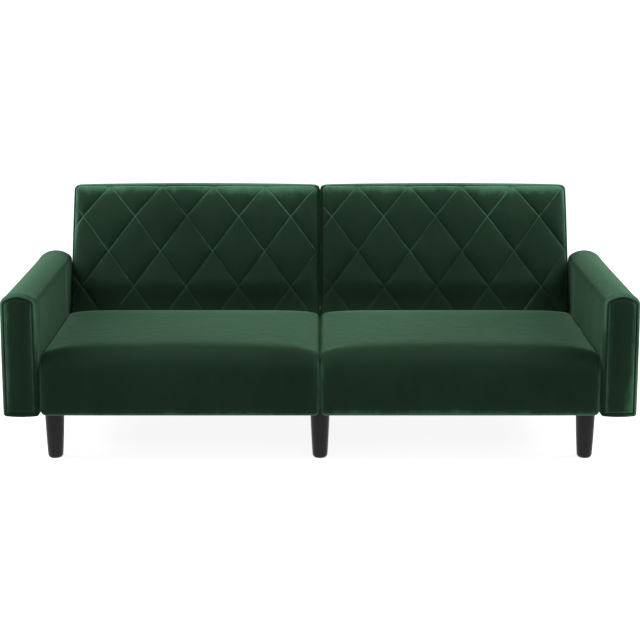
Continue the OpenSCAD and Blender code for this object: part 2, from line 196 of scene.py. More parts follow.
def ramp(tree, factor, *stops):
    """A colour ramp with (position, colour) stops."""
    made = add(tree, "ValToRGB", Fac=factor)
    elements = made.color_ramp.elements
    while len(elements) < len(stops):
        elements.new(0.5)
    for element, (position, colour) in zip(elements, stops):
        element.position = position
        element.color = (*colour, 1)
    return made.outputs["Color"]


def value_ramp(tree, factor, low, high):
    """Runs from low to high over the middle of a noise's range."""
    return add(tree, "MapRange", Value=factor, From_Min=0.3, From_Max=0.7, To_Min=low, To_Max=high).outputs["Result"]


def bump(tree, shader, *layers):
    """Stacks (height, distance) layers into the shader's normal."""
    last = None
    for height, distance in layers:
        made = add(tree, "Bump", Height=height, Distance=distance, Strength=1.0)
        if last is not None:
            tree.links.new(last, made.inputs["Normal"])
        last = made.outputs["Normal"]
    tree.links.new(last, shader.inputs["Normal"])


def dress(tree, shader, colour, roughness, **fixed):
    """Gives the shader its colour and roughness, and fixed values for its other inputs."""
    plug_named(tree, shader, {"Base_Color": colour, "Roughness": roughness, **fixed})


# ---- Materials ----

def velvet_material():
    """Short pile. Where a mesh attribute asks for it, mostly along rolls, seams and quilting lines, the colour runs up
    to a pale green: a painted highlight that stands in for sheen.
    """
    material, tree, shader = new_material("velvet")
    place = object_place(tree)
    drift = noise(tree, place, 3.0, 2)
    nap = noise(tree, object_place(tree, (1, 1, 0.4)), 38.0, 4, 0.6)
    pile = noise(tree, place, 1500.0, 2, 0.7)
    painted_sheen = add(tree, "Attribute")
    painted_sheen.attribute_name = PAINTED_SHEEN_ATTRIBUTE
    # The painted-highlight attribute pushes the colour up the ramp towards its last stop, a pale green that stands in
    # for sheen
    blend = weighted(tree, (drift, 0.55), (nap, 0.3), (pile, 0.15), (painted_sheen.outputs["Fac"], 0.55))
    colour = ramp(tree, blend, (0.30, (0.0078, 0.0190, 0.0108)), (0.70, (0.0125, 0.0305, 0.0174)),
                  (1.00, (0.0520, 0.1300, 0.0780)))
    dress(tree, shader, colour, value_ramp(tree, nap, 0.78, 0.92), Specular_IOR_Level=0.03,
          Sheen_Weight=0.35, Sheen_Roughness=0.30, Sheen_Tint=(0.45, 0.94, 0.59, 1))
    bump(tree, shader, (nap, 0.0012), (pile, 0.00025))
    return material


def timber_material(name, stretch):
    """Sawn pine. The stretch is small along the grain."""
    material, tree, shader = new_material(name)
    place = object_place(tree, stretch)
    rings = add(tree, "TexWave", Vector=place, Scale=14.0, Distortion=7.0, Detail=3.0, Detail_Scale=1.2)
    fibre = noise(tree, object_place(tree, tuple(6 * s for s in stretch)), 60.0, 4, 0.65)
    blend = weighted(tree, (rings.outputs["Fac"], 0.5), (fibre, 0.5))
    colour = ramp(tree, blend, (0.15, (0.60, 0.41, 0.22)), (0.50, (0.50, 0.31, 0.15)), (0.85, (0.36, 0.20, 0.09)))
    dress(tree, shader, colour, value_ramp(tree, fibre, 0.55, 0.75))
    bump(tree, shader, (fibre, 0.0004), (rings.outputs["Fac"], 0.0003))
    return material


def foam_material():
    material, tree, shader = new_material("foam")
    place = object_place(tree)
    cells = add(tree, "TexVoronoi", Vector=place, Scale=700.0).outputs["Distance"]
    tone = noise(tree, place, 12.0, 3)
    colour = ramp(tree, tone, (0.3, (0.80, 0.72, 0.47)), (0.7, (0.86, 0.78, 0.55)))
    dress(tree, shader, colour, 0.95)
    bump(tree, shader, (cells, 0.0006))
    return material


def non_woven_material():
    """Black spun-bonded cloth with its grid of pressed dots."""
    material, tree, shader = new_material("dust_cloth")
    place = object_place(tree)
    fibre = noise(tree, place, 900.0, 3, 0.7)
    dots = add(tree, "TexVoronoi", Vector=place, Scale=420.0, Randomness=0.0).outputs["Distance"]
    colour = ramp(tree, fibre, (0.3, (0.012, 0.012, 0.013)), (0.7, (0.030, 0.030, 0.031)))
    dress(tree, shader, colour, value_ramp(tree, fibre, 0.7, 0.95))
    bump(tree, shader, (dots, 0.0002), (fibre, 0.0002))
    return material


def webbing_material():
    material, tree, shader = new_material("webbing")
    place = object_place(tree)
    warp = add(tree, "TexWave", Vector=place, Scale=160.0, Distortion=0.4)
    weft = add(tree, "TexWave", Vector=object_place(tree, (0, 0, 1)), Scale=220.0, Distortion=0.4)
    warp.bands_direction = "X"
    weft.bands_direction = "Z"
    weave = maths(tree, "MULTIPLY", warp.outputs["Fac"], weft.outputs["Fac"])
    colour = ramp(tree, weave, (0.1, (0.012, 0.012, 0.012)), (0.9, (0.055, 0.055, 0.055)))
    dress(tree, shader, colour, 0.8)
    bump(tree, shader, (weave, 0.0006))
    return material


def zinc_material():
    material, tree, shader = new_material("zinc_steel")
    place = object_place(tree)
    spangle = add(tree, "TexVoronoi", Vector=place, Scale=160.0).outputs["Color"]
    scratch = noise(tree, object_place(tree, (1, 1, 9)), 120.0, 3)
    tone = add(tree, "RGBToBW", Color=spangle).outputs["Val"]
    colour = ramp(tree, tone, (0.2, (0.50, 0.52, 0.54)), (0.8, (0.64, 0.65, 0.66)))
    dress(tree, shader, colour, value_ramp(tree, scratch, 0.28, 0.48), Metallic=1.0)
    bump(tree, shader, (scratch, 0.00006))
    return material


def powder_coat_material():
    material, tree, shader = new_material("black_steel")
    place = object_place(tree)
    peel = noise(tree, place, 700.0, 2)
    rub = noise(tree, place, 25.0, 5, 0.7)
    colour = ramp(tree, rub, (0.35, (0.020, 0.020, 0.021)), (0.75, (0.045, 0.045, 0.046)))
    dress(tree, shader, colour, value_ramp(tree, rub, 0.38, 0.55))
    bump(tree, shader, (peel, 0.00012))
    return material


def lacquer_material():
    """Black satin lacquer over turned wood, whose grain still shows a little."""
    material, tree, shader = new_material("leg_black")
    grain = noise(tree, object_place(tree, (1, 1, 0.05)), 260.0, 4, 0.6)
    cloud = noise(tree, object_place(tree), 30.0, 3)
    colour = ramp(tree, grain, (0.3, (0.0085, 0.0080, 0.0080)), (0.7, (0.0150, 0.0140, 0.0140)))
    dress(tree, shader, colour, value_ramp(tree, cloud, 0.26, 0.38), Specular_IOR_Level=0.18,
          Coat_Weight=0.05, Coat_Roughness=0.22)
    bump(tree, shader, (grain, 0.00012))
    return material


def glide_material():
    material, tree, shader = new_material("glide")
    grain = noise(tree, object_place(tree), 900.0, 3, 0.6)
    scuff = noise(tree, object_place(tree), 60.0, 4, 0.7)
    colour = ramp(tree, scuff, (0.35, (0.040, 0.040, 0.040)), (0.75, (0.075, 0.074, 0.072)))
    dress(tree, shader, colour, value_ramp(tree, scuff, 0.55, 0.8))
    bump(tree, shader, (grain, 0.0002))
    return material


def floor_material():
    material, tree, shader = new_material("floor")
    place = object_place(tree)
    tone = noise(tree, place, 0.8, 2)
    colour = ramp(tree, tone, (0.3, (0.40, 0.40, 0.40)), (0.7, (0.43, 0.43, 0.43)))
    dress(tree, shader, colour, 0.9, Specular_IOR_Level=0.1, Emission_Color=(1, 1, 1, 1), Emission_Strength=0.88)
    bump(tree, shader, (noise(tree, place, 150.0, 2), 0.0001))
    return material


MATERIALS = {
    "velvet": velvet_material(),
    "foam": foam_material(),
    "dust_cloth": non_woven_material(),
    "webbing": webbing_material(),
    "zinc_steel": zinc_material(),
    "black_steel": powder_coat_material(),
    "leg_black": lacquer_material(),
    "glide": glide_material(),
    "timber_across": timber_material("timber_across", (0.06, 1, 1)),
    "timber_deep": timber_material("timber_deep", (1, 0.06, 1)),
    "timber_upright": timber_material("timber_upright", (1, 1, 0.06)),
}
TIMBER_GRAIN = {
    "seat_side_rails": "timber_deep",
    "seat_slats": "timber_deep",
    "corner_blocks": "timber_upright",
    "arm_frame": "timber_deep",
    "back_frame": "timber_upright",
}


def finish_cad_nodes():
    """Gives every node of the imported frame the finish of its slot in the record."""
    for part in frame["record"]["subparts"]:
        name, slot = part["node"], part["material_slot"]
        if slot == "timber":
            slot = next((g for stem, g in TIMBER_GRAIN.items() if name.startswith(stem)), "timber_across")
        mesh = frame["nodes"][name].data
        mesh.materials.clear()
        mesh.materials.append(MATERIALS[slot])


# ---- Mesh helpers ----

def new_object(name, data):
    made = bpy.data.objects.new(name, data)
    bpy.context.scene.collection.objects.link(made)
    return made


def piece(name, points, faces, body, slot, levels=0, replaced=(), close=True, painted_sheen=None):
    """A smooth mesh that rides on a body and takes its finish from a slot of the record.

    The last argument is how much painted highlight, a pale colour standing in for sheen, the velvet gets at each
    point, from 0 to 1."""
    mesh = bpy.data.meshes.new(name)
    mesh.from_pydata([tuple(map(float, p)) for p in points], [], [tuple(map(int, f)) for f in faces])
    if close:
        turn_outward(mesh)
    mesh.polygons.foreach_set("use_smooth", [True] * len(mesh.polygons))
    if painted_sheen is not None:
        layer = mesh.attributes.new(PAINTED_SHEEN_ATTRIBUTE, "FLOAT", "POINT")
        layer.data.foreach_set("value", np.clip(np.asarray(painted_sheen, np.float32), 0, 1))
    mesh.materials.append(MATERIALS[slot])
    made = new_object(name, mesh)
    if levels:
        surface = made.modifiers.new("Surface", "SUBSURF")
        surface.levels = surface.render_levels = levels
    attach(made, body)
    if replaced:
        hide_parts(*replaced)
    return made


def turn_outward(mesh):
    work = bmesh.new()
    work.from_mesh(mesh)
    bmesh.ops.recalc_face_normals(work, faces=work.faces)
    work.to_mesh(mesh)
    work.free()


def band_faces(first, second, closed=True):
    """Quads between two rows of point numbers."""
    count = len(first)
    last = count if closed else count - 1
    return [(first[i], first[(i + 1) % count], second[(i + 1) % count], second[i]) for i in range(last)]


def grid_faces(rows):
    """Quads over a table of point numbers."""
    faces = []
    for low, high in zip(rows[:-1], rows[1:]):
        faces += band_faces(low, high, closed=False)
    return faces


def add_ring(points, rings, ring):
    """Adds a ring's points, and their numbers as the next ring."""
    rings.append(list(range(len(points), len(points) + len(ring))))
    points += [tuple(p) for p in ring]


def loft_faces(rings):
    """Quads along a row of rings."""
    return [face for first, second in zip(rings[:-1], rings[1:]) for face in band_faces(first, second)]


def inflate(points, faces, pinned, pressure=4.0):
    """Blows the cover up with a cloth simulation and returns how far each point moved.

    pinned runs from 0, free, to 1, held still."""
    mesh = bpy.data.meshes.new("cloth")
    mesh.from_pydata([tuple(p) for p in points], [], [tuple(map(int, f)) for f in faces])
    cloth = new_object("cloth", mesh)
    group = cloth.vertex_groups.new(name="pinned")
    for i, weight in enumerate(pinned):
        group.add([i], float(weight), "REPLACE")
    modifier = cloth.modifiers.new("Cloth", "CLOTH")
    settings = modifier.settings
    settings.quality = 5
    settings.mass = 0.3
    settings.tension_stiffness = settings.compression_stiffness = 15
    settings.shear_stiffness = 5
    settings.bending_stiffness = 0.6
    settings.use_pressure = True
    settings.uniform_pressure_force = pressure
    settings.vertex_group_mass = "pinned"
    settings.effector_weights.gravity = 0
    modifier.collision_settings.use_collision = False
    modifier.point_cache.frame_start = 1
    modifier.point_cache.frame_end = CLOTH_STEPS
    scene = bpy.context.scene
    for step in range(1, CLOTH_STEPS + 1):
        scene.frame_set(step)
    moved = cloth.evaluated_get(bpy.context.evaluated_depsgraph_get()).to_mesh()
    after = np.zeros(len(points) * 3, np.float32)
    moved.vertices.foreach_get("co", after)
    bpy.data.objects.remove(cloth)
    bpy.data.meshes.remove(mesh)
    scene.frame_set(1)
    return after.reshape(-1, 3).astype(float) - np.asarray(points, float)


def capped(moves, most):
    """Scales each move down smoothly so that none is longer than most."""
    length = np.linalg.norm(moves, axis=1, keepdims=True)
    return moves * most / (most + length)


def ramp_between(value, low, high):
    """0 below low, 1 above high, and smooth in between."""
    t = np.clip((value - low) / (high - low), 0, 1)
    return t * t * (3 - 2 * t)


# ---- Rounded boxes ----

def rounded_loop(low, high, radii, inset, turn_steps, wide_steps, tall_steps):
    """Points round a rectangle with round corners, from the middle of the low-low corner: along the low side, up
    the high side and back. Opposite sides have equal counts, so a grid fits across the loop."""
    corners = [(low[0], low[1]), (high[0], low[1]), (high[0], high[1]), (low[0], high[1])]
    inward = [(1, 1), (-1, 1), (-1, -1), (1, -1)]
    centres = [np.array(c) + np.array(s) * r for c, s, r in zip(corners, inward, radii)]
    small = [max(r - inset, 0.0005) for r in radii]

    def at(corner, turn):
        return centres[corner] + small[corner] * np.array([math.cos(turn), math.sin(turn)])

    loop = []
    for side in range(4):
        start = math.radians(225 + 90 * side)
        following = (side + 1) % 4
        loop += [at(side, start + math.pi / 4 * k / turn_steps) for k in range(turn_steps)]
        first, last = at(side, start + math.pi / 4), at(following, start + math.pi / 4)
        steps = wide_steps if side % 2 == 0 else tall_steps
        loop += [first + (last - first) * k / steps for k in range(steps)]
        loop += [at(following, start + math.pi / 4 * (1 + k / turn_steps)) for k in range(turn_steps)]
    return np.array(loop)


def end_rounding(low, high, radius, steps, spacing):
    """(place, inset) along a loft whose two ends are rounded."""
    turns = [math.pi / 2 * k / steps for k in range(steps)]
    start = [(low + radius * (1 - math.cos(t)), radius * (1 - math.sin(t))) for t in turns]
    count = max(1, round((high - low - 2 * radius) / spacing))
    middle = [(low + radius + (high - low - 2 * radius) * k / count, 0.0) for k in range(count + 1)]
    end = [(low + high - place, inset) for place, inset in reversed(start)]
    return start + middle + end


def cap_grid(points, ring, wide, tall):
    """New points and rows of numbers for a grid that closes a ring, whose sides have wide and tall steps in turn."""
    total = len(ring)
    rows, fresh = [list(ring[:wide + 1])], []

    def at(k):
        return np.array(points[ring[k % total]], float)

    for j in range(1, tall):
        v, left, right = j / tall, at(-j), at(wide + j)
        row = [ring[-j]]
        for i in range(1, wide):
            u = i / wide
            edges = (1 - v) * at(i) + v * at(2 * wide + tall - i) + (1 - u) * left + u * right
            corners = (1 - u) * ((1 - v) * at(0) + v * at(2 * wide + tall)) + u * (
                (1 - v) * at(wide) + v * at(wide + tall))
            row.append(len(points) + len(fresh))
            fresh.append(edges - corners)
        rows.append(row + [ring[wide + j]])
    return fresh, rows + [[ring[(2 * wide + tall - i) % total] for i in range(wide + 1)]]


def rounded_box(xs, loop_at, wide, tall):
    """A closed shell lofted along X. xs is from end_rounding, and loop_at(inset) gives a ring's (y, z) points."""
    points, rings = [], []
    for x, inset in xs:
        add_ring(points, rings, [(x, y, z) for y, z in loop_at(inset)])
    faces = loft_faces(rings)
    for ring in (rings[0], rings[-1]):
        fresh, rows = cap_grid(points, ring, wide, tall)
        points += fresh
        faces += grid_faces(rows)
    return np.array(points), faces


# ---- Seats ----

def seat_cushion(side):
    """Seat cover over its foam: crowned on top, pulled down along its ends, flat below."""
    low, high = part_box("seat_cover_" + side)
    near, far = sorted((abs(low.x), abs(high.x)))
    turn_steps, wide_steps, tall_steps = 4, 30, 9
    wide, tall = wide_steps + 2 * turn_steps, tall_steps + 2 * turn_steps

    def loop_at(inset):
        return rounded_loop((low.y, low.z), (high.y, high.z - SEAT_TOP_ROOM), SEAT_RADII, inset,
                            turn_steps, wide_steps, tall_steps)

    points, faces = rounded_box(end_rounding(near, far, SEAT_END_R, 4, 0.018), loop_at, wide, tall)

    x, y, z = points.T
    top = ramp_between(z, high.z - 0.10, high.z - SEAT_TOP_ROOM)
    from_ends = np.minimum(x - near, far - x)
    drop = SEAT_DROP * np.exp(-from_ends / SEAT_DROP_RUN)
    front_drop = SEAT_FRONT_DROP * np.exp(-(y - low.y) / SEAT_FRONT_RUN)
    z -= top * (drop + front_drop)
    shares = [np.clip((points[:, k] - low[k]) / (high[k] - low[k]), 0, 1) for k in (1, 2)]
    swell = np.sqrt(np.sin(math.pi * shares[0]) * np.sin(math.pi * shares[1]))
    at_front = 1 - ramp_between(y, low.y, low.y + 0.05)
    z -= SEAT_SAG * at_front * (1 - ramp_between(z, low.z, low.z + 0.03))
    # Painted highlight on the front face: paler near its foot, standing in for bounce light from the floor, and near
    # the ends, standing in for sheen on their rounded edges
    painted_sheen = 0.90 * at_front * np.maximum(np.exp(-(z - low.z).clip(0) / 0.010), np.exp(-from_ends / 0.009))
    x -= SEAT_GAP_BOW * swell * (1 - ramp_between(x, near, near + 0.03))

    bottom = 1 - ramp_between(z, low.z + 0.01, low.z + 0.06)
    ends = 1 - ramp_between(from_ends, 0.004, 0.03)
    rear = ramp_between(y, high.y - 0.04, high.y - 0.01)
    held = np.maximum.reduce([bottom, 0.9 * ends, rear])
    moves = capped(inflate(points, faces, held), SEAT_MOST_MOVE)
    front = 1 - ramp_between(y, low.y + 0.01, low.y + 0.05)
    points = points + moves * (1 - 0.6 * front * (1 - top))[:, None]
    points[:, 0] *= SIDES[side]
    made = piece("seat_cushion_" + side, points, faces, "base", "velvet", 1,
                 ("seat_cover_" + side, "seat_foam_" + side), painted_sheen=painted_sheen)


# ---- Back panels ----

def leaned(points, angle):
    """Points turned about X, so that one straight up moves rearwards by the angle."""
    x, y, z = np.asarray(points, float).T
    return np.stack([x, y * math.cos(angle) + z * math.sin(angle), -y * math.sin(angle) + z * math.cos(angle)], axis=1)


def panel_box(node):
    """The hinge pin, and the lowest and highest corner of a back cover in its own (across, rearward, up) axes."""
    pin = np.array(frame["joints"][0]["pos_m"], float)
    co = np.array([v.co for v in frame["nodes"][node].data.vertices], float)
    local = leaned(co - pin, -LEAN)
    return pin, local.min(0), local.max(0)


def top_lean(up, top):
    """How far a panel's front is drawn back near its top."""
    return TOP_LEAN * np.exp(-(top - up) / TOP_LEAN_RUN)


def crease_distances(x, s):
    """Distances to the quilting lines above and below, for x from the panel's left end and s down from its top
    seam."""
    row = np.where(s < FIRST_ROW_H, s / FIRST_ROW_H, 1 + (s - FIRST_ROW_H) / DIAMOND_HALF_H)  # in half diamonds
    along = (x - FIRST_APEX_X) / DIAMOND_HALF_W
    falling, rising = (along - row) / 2 % 1, (along + row) / 2 % 1
    span = 2 * DIAMOND_HALF_W * DIAMOND_HALF_H / math.hypot(DIAMOND_HALF_W, DIAMOND_HALF_H)
    return np.minimum(1 - falling, rising) * span, np.minimum(falling, 1 - rising) * span


def split_evenly(places, parts):
    """The places again, with each interval cut into that many."""
    places = np.asarray(places, float)
    cuts = [places[:-1] + (places[1:] - places[:-1]) * k / parts for k in range(parts)]
    return np.append(np.stack(cuts, axis=1).ravel(), places[-1])


def refine_rows(table, parts):
    """Cubic interpolation of a table's rows, evenly between neighbours."""
    padded_table = np.concatenate([2 * table[:1] - table[1:2], table, 2 * table[-1:] - table[-2:-1]])
    a, b, c, d = (padded_table[k:len(padded_table) - 3 + k] for k in range(4))
    cuts = []
    for k in range(parts):
        t = k / parts
        cuts.append(b + 0.5 * t * (c - a + t * (2 * a - 5 * b + 4 * c - d + t * (3 * (b - c) + d - a))))
    fine = np.stack(cuts, axis=1).reshape(-1, table.shape[1])
    return np.concatenate([fine, table[-1:]])


def quilt_lines(width, seam_x, seam_s):
    """Coarse places across and down the quilted face, on the lattice that the quilting lines run through."""
    cell = DIAMOND_HALF_W / CELLS
    first = math.ceil((seam_x + 0.010) / cell)
    last = math.floor((width - seam_x - 0.010) / cell)
    edge = [seam_x, seam_x + 0.0022, seam_x + 0.0050, seam_x + 0.0085]
    edge = [x for x in edge if x < first * cell - 0.002]
    xs = edge + [k * cell for k in range(first, last + 1)] + [width - x for x in reversed(edge)]
    rows = [FIRST_ROW_H * k / CELLS for k in range(CELLS + 1)]
    step = DIAMOND_HALF_H / CELLS
    while rows[-1] + step < seam_s - 0.004:
        rows.append(rows[-1] + step)
    rows.insert(1, 0.0035)
    return np.array(xs), np.array(rows + [seam_s])


def quilt_puff(xs, rows):
    """How far the padding lifts each coarse point of the quilted face, 1 being the fullest."""
    x, s = np.meshgrid(xs, rows, indexing="ij")
    away = np.minimum(*crease_distances(x, s))
    edge = np.minimum.reduce([x - xs[0], xs[-1] - x, s, rows[-1] - s])
    numbers = np.arange(x.size).reshape(x.shape)
    points = np.stack([x.ravel(), np.zeros(x.size), -s.ravel()], axis=1)
    held = ((away < ON_LINE) | (edge < 0.0001)).ravel()
    moves = inflate(points, grid_faces(numbers.T), held.astype(float), pressure=6.0)
    lift = np.abs(moves[:, 1]).reshape(x.shape)
    return lift / np.percentile(lift, 97)


def quilted_front(side, low, high):
    """A back's quilted front: its points, their numbers and faces, how much painted highlight each point gets, and its
    coarse cells across and down."""
    width, top, foot, front = high[0] - low[0], high[2], low[2], low[1] + PANEL_SET_BACK
    flat_top, flat_foot = top - PANEL_TOP_R, foot + PANEL_FOOT_R
    arc_top = PANEL_TOP_R * SEAM_ANGLE
    arc_foot = PANEL_FOOT_R * SEAM_ANGLE
    seam_s = arc_top + flat_top - flat_foot + arc_foot
    seam_x = PANEL_END_R * (1 - math.sin(SEAM_ANGLE))
    coarse_x, coarse_s = quilt_lines(width, seam_x, seam_s)
    puff = quilt_puff(coarse_x, coarse_s)
    fine_x, fine_s = split_evenly(coarse_x, FINE), split_evenly(coarse_s, FINE)
    puff = refine_rows(refine_rows(puff, FINE).T, FINE).T

    # Height up the panel and depth of every point of the front
    x, s = np.meshgrid(fine_x, fine_s, indexing="ij")
    turn_top = np.clip((arc_top - s) / PANEL_TOP_R, 0, SEAM_ANGLE)
    turn_foot = np.clip((s - (seam_s - arc_foot)) / PANEL_FOOT_R, 0, SEAM_ANGLE)
    up = flat_top - np.clip(s - arc_top, 0, flat_top - flat_foot)
    up = up + PANEL_TOP_R * np.sin(turn_top) - PANEL_FOOT_R * np.sin(turn_foot)
    depth = PANEL_TOP_R * (1 - np.cos(turn_top)) + PANEL_FOOT_R * (1 - np.cos(turn_foot))
    from_end = np.clip(PANEL_END_R - np.minimum(x, width - x), 0, PANEL_END_R)
    depth = depth + PANEL_END_R - np.sqrt(PANEL_END_R ** 2 - from_end ** 2) + top_lean(up, top)

    # Relief: padding that rolls down to the seam, quilting lines, and the dip into the seam
    from_seam = np.minimum.reduce([x - seam_x, width - seam_x - x, s, seam_s - s])
    above, below = crease_distances(x, s)
    away = np.minimum(above, below)
    crease = CREASE_DEPTH * np.maximum(np.exp(-above / CREASE_SHARP), np.exp(-below / CREASE_SOFT))
    share_x, share_s = np.clip((x - seam_x) / (width - 2 * seam_x), 0, 1), np.clip(s / seam_s, 0, 1)
    crown = PANEL_CROWN * np.sqrt((np.sin(math.pi * share_x) * np.sin(math.pi * share_s)).clip(0))
    relief = PUFF * puff + crown + sum(rise * (1 - np.exp(-from_seam / run)) for rise, run in EDGE_ROLLS)
    relief = relief - crease * ramp_between(from_seam, 0, 0.006)
    relief = relief * (0.35 + 0.65 * ramp_between(up, 0.03, 0.13))
    relief = relief - SEAM_DIP * np.exp(-(from_seam / SEAM_DIP_RUN) ** 2)
    tilt = turn_top - turn_foot
    side_tilt = np.arcsin(from_end / PANEL_END_R) * np.where(x < width / 2, -1, 1)
    local = np.stack([
        low[0] + x + relief * np.sin(side_tilt),
        front + depth - relief * np.cos(tilt) * np.cos(side_tilt),
        up + relief * np.sin(tilt),
    ], axis=-1).reshape(-1, 3)
    seam_low, seam_high = local[:, [0, 2]].min(0), local[:, [0, 2]].max(0)
    local[:, [0, 2]] = round_corners(local[:, [0, 2]], seam_low, seam_high, CORNER_R - seam_x)

    # Painted highlight: a pale line just under each quilting line, and bands under the top seam and along the ends,
    # stronger higher up, standing in for sheen and light from above
    from_outer = x if side == "left" else width - x
    height = 0.40 + 0.60 * s[:, ::-1] / seam_s
    under_line = np.where(away < ON_LINE, 0, above)
    painted_sheen = np.maximum.reduce([
        height * np.exp(-(under_line / 0.0036) ** 2) * ramp_between(from_seam, 0, 0.004),
        0.90 * np.exp(-s / 0.026) + 0.15 * np.exp(-s / 0.080),
        1.25 * height * np.exp(-(from_outer - seam_x) / 0.013),
        0.50 * height * np.exp(-(width - from_outer - seam_x) / 0.009),
    ]) * (1 - np.exp(-(from_seam / 0.0016) ** 2))
    numbers = np.arange(x.size).reshape(x.shape)
    cells = len(coarse_x) - 1, len(coarse_s) - 1
    return list(local), numbers, quilt_faces(numbers, away), list(painted_sheen.ravel()), cells


def add_boxing(points, faces, painted_sheen, loop, side, low, high):
    """Adds rings from the front's seam outwards over the edge, back along the sides and in over the rear edge, and
    returns the last one."""
    coarse = loop[::FINE]
    front = low[1] + PANEL_SET_BACK
    thickness = high[1] - front
    foot_points, outward, edge_r = panel_outline_foot(np.array([points[i] for i in coarse]), low, high)
    rear_top_r = np.where(outward[:, 1] > 0, PANEL_REAR_TOP_R, PANEL_REAR_FOOT_R)
    rear_r = np.stack([np.full(len(coarse), PANEL_REAR_R), rear_top_r], axis=1)
    rings = []
    for inset, back, lip in boxing_path():
        ring_inset = inset[0] * edge_r[:, None] + inset[1] * rear_r
        ring_back = back[0] * edge_r + back[1] * thickness + back[2] * rear_r[:, 1] * np.abs(outward[:, 1])
        ring = np.empty((len(coarse), 3))
        squared = ramp_between(float(np.mean(ring_back)), 0.020, 0.055)
        ring[:, [0, 2]] = square_corners(foot_points, low, high, squared) - outward * ring_inset
        ring[:, 1] = front + ring_back + top_lean(ring[:, 2], high[2]) * (1 - ring_back / thickness)
        fullness = math.sin(math.pi * min(1, max(0, float(np.mean(ring_back)) / thickness))) ** 0.35
        ring[:, [0, 2]] += outward * boxing_bow(ring, outward, low, high, side, fullness, lip)[:, None]
        add_ring(points, rings, ring)
        # Painted highlight on the boxing: paler near the front seam, most on the top, standing in for sheen
        near_front = math.exp(-float(np.mean(ring_back)) / 0.030)
        painted_sheen += list(near_front * (0.30 + 0.70 * (outward[:, 1] > 0) * outward[:, 1] ** 2))
    count = len(coarse)
    for i in range(count):
        edge = [int(loop[(FINE * i + k) % len(loop)]) for k in range(FINE + 1)]
        faces.append(tuple(edge + [rings[0][(i + 1) % count], rings[0][i]]))
    faces += loft_faces(rings)
    return rings[-1]


def add_rear_panel(points, faces, painted_sheen, ring, cells, low, high):
    """Adds a crowned grid across the boxing's last ring."""
    fresh, rows = cap_grid(points, ring, *cells)
    span_x, span_u = high[0] - low[0], high[2] - low[2]
    for p in fresh:
        crown = math.sin(math.pi * (p[0] - low[0]) / span_x) * math.sin(math.pi * (p[2] - low[2]) / span_u)
        p[1] += PANEL_REAR_CROWN * max(crown, 0) ** 0.5
    points += fresh
    painted_sheen += [0] * len(fresh)
    faces += grid_faces(rows)


def back_cushion(side):
    """Back cover over its foam: a quilted front, and a boxing band and rear panel sewn to it all round."""
    pin, low, high = panel_box("back_cover_" + side)
    high = high + np.array([0, 0, PANEL_RISE])
    points, numbers, faces, painted_sheen, cells = quilted_front(side, low, high)
    seam = np.concatenate([numbers[:-1, -1], numbers[-1, :0:-1], numbers[:0:-1, 0], numbers[0, :-1]])
    rear_ring = add_boxing(points, faces, painted_sheen, seam, side, low, high)
    add_rear_panel(points, faces, painted_sheen, rear_ring, cells, low, high)
    made = piece("back_cushion_" + side, leaned(points, LEAN) + pin, faces, "back_" + side, "velvet", 0,
                 ("back_cover_" + side, "back_foam_" + side), painted_sheen=painted_sheen)


def quilt_faces(numbers, away):
    """Quads over the quilted face, cut along their diagonal where a quilting line runs through it."""
    faces = []
    for i in range(numbers.shape[0] - 1):
        for j in range(numbers.shape[1] - 1):
            a, b, c, d = numbers[i, j], numbers[i + 1, j], numbers[i + 1, j + 1], numbers[i, j + 1]
            if max(away[i, j], away[i + 1, j + 1]) < ON_LINE:
                faces += [(a, b, c), (a, c, d)]
            elif max(away[i + 1, j], away[i, j + 1]) < ON_LINE:
                faces += [(a, b, d), (b, c, d)]
            else:
                faces.append((a, b, c, d))
    return faces


def from_core(flat, low, high, radius):
    """The nearest points of a rectangle drawn in by the radius, the way out from them, its longer side and its
    length."""
    core = np.clip(flat, low + radius, high - radius)
    away = flat - core
    return core, away, np.abs(away).max(1), np.linalg.norm(away, axis=1)


def round_corners(flat, low, high, radius):
    """Draws the corners of a rectangle's points in to arcs, and what is near them with it."""
    core, away, most, length = from_core(flat, low, high, radius)
    return core + away * (most / np.maximum(length, 1e-9))[:, None]


def square_corners(flat, low, high, share):
    """Draws points on a rounded outline out towards the square corners, by that share."""
    core, away, most, length = from_core(flat, low[[0, 2]], high[[0, 2]], CORNER_R)
    return core + away * (1 + 0.93 * share * (length / np.maximum(most, 1e-9) - 1))[:, None]


def panel_outline_foot(local, low, high):
    """For points near a panel's edge: the nearest points of its front outline, the outward directions there, and
    the radius of the edge."""
    flat = local[:, [0, 2]]
    core_low, core_high = low[[0, 2]] + CORNER_R, high[[0, 2]] - CORNER_R
    core = np.clip(flat, core_low, core_high)
    away = flat - core
    length = np.linalg.norm(away, axis=1)
    for axis in (0, 1):
        stuck = length < 1e-9
        away[stuck & (flat[:, axis] <= core_low[axis]), axis] = -1
        away[stuck & (flat[:, axis] >= core_high[axis]), axis] = 1
    outward = away / np.maximum(np.linalg.norm(away, axis=1, keepdims=True), 1e-9)
    far_r = np.where(outward[:, 1] > 0, PANEL_TOP_R, PANEL_FOOT_R)
    edge_r = PANEL_END_R + (far_r - PANEL_END_R) * np.abs(outward[:, 1]) ** 2
    return core + outward * CORNER_R, outward, edge_r


def boxing_bow(ring, outward, low, high, side, fullness, lip):
    """How far the boxing bows out: to press on the other back, in front of the hinge and above it, less at the arm,
    and crowned on top."""
    share = (ring[:, 0] - low[0]) / (high[0] - low[0])
    inner = outward[:, 0] * -SIDES[side] > 0
    meeting = np.maximum(fullness * ramp_between(ring[:, 2], 0.018, 0.042),
                         lip * ramp_between(ring[:, 2], -0.022, -0.006))
    ends = np.where(inner, GAP_BOW * meeting, ARM_SIDE_BOW * fullness)
    crown = np.where(outward[:, 1] > 0, TOP_CROWN * np.clip(np.sin(math.pi * share), 0, 1) ** 0.5, 0.001)
    return ends * outward[:, 0] ** 2 + fullness * crown * outward[:, 1] ** 2


